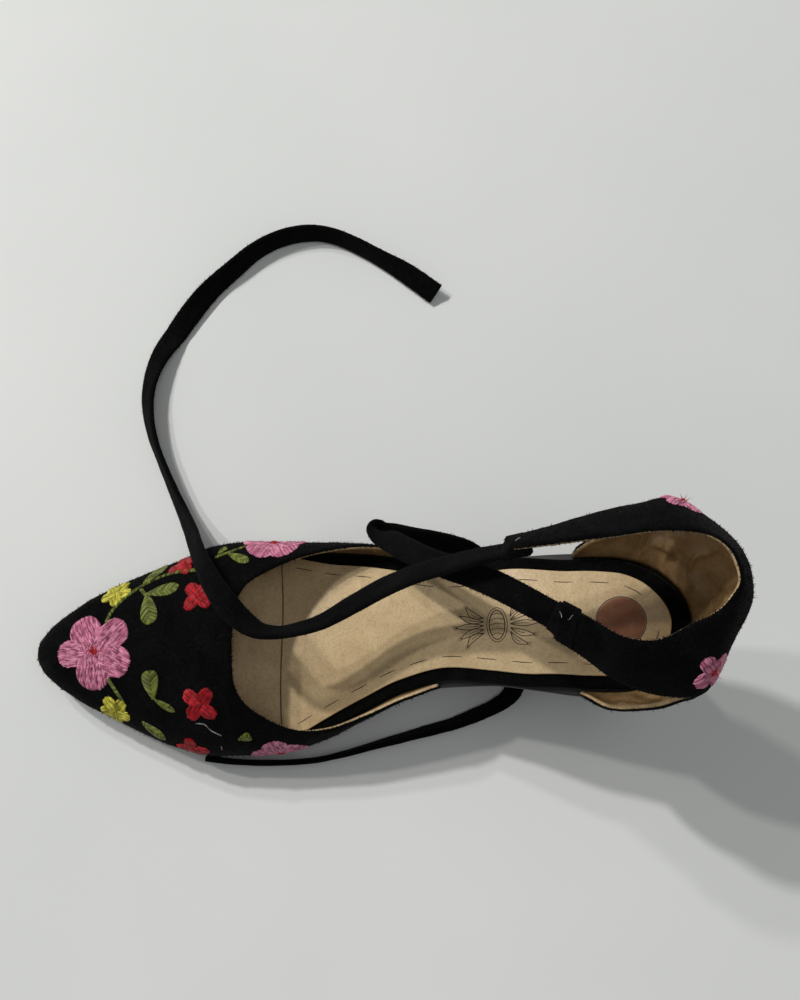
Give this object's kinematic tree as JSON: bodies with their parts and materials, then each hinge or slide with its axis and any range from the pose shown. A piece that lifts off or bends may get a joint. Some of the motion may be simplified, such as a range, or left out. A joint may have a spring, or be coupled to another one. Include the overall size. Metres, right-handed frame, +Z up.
{
  "type": "women's ankle-tie heeled shoe, right",
  "caption": "Right-foot pointed heel with closed toe and counter, open sides, block heel and two long flat ankle ties.",
  "frame": {"origin": "bottom centre of the shoe's box without its ties: on the floor, midway from toe tip to counter", "axes": "+Z up, -X towards the toe, +Y towards the outer (lateral) side of the right foot"},
  "size_m": [0.2472, 0.2182, 0.1111],
  "materials": {
    "outsole": "matt black sole",
    "heel_cover": "black suede",
    "top_piece": "black rubber",
    "insole_cover": "black suede",
    "sock": "tan mottled lining leather",
    "upper": "black suede with coloured embroidery, tan lining inside",
    "tie": "black suede strip"
  },
  "bodies": {
    "root": {"outsole": "outsole", "heel_block": "heel_cover", "heel_top_piece": "top_piece", "insole": "insole_cover", "sock": "sock", "vamp": "upper", "counter": "upper", "tie_lateral": "tie", "tie_medial": "tie"}
  },
  "joints": []
}
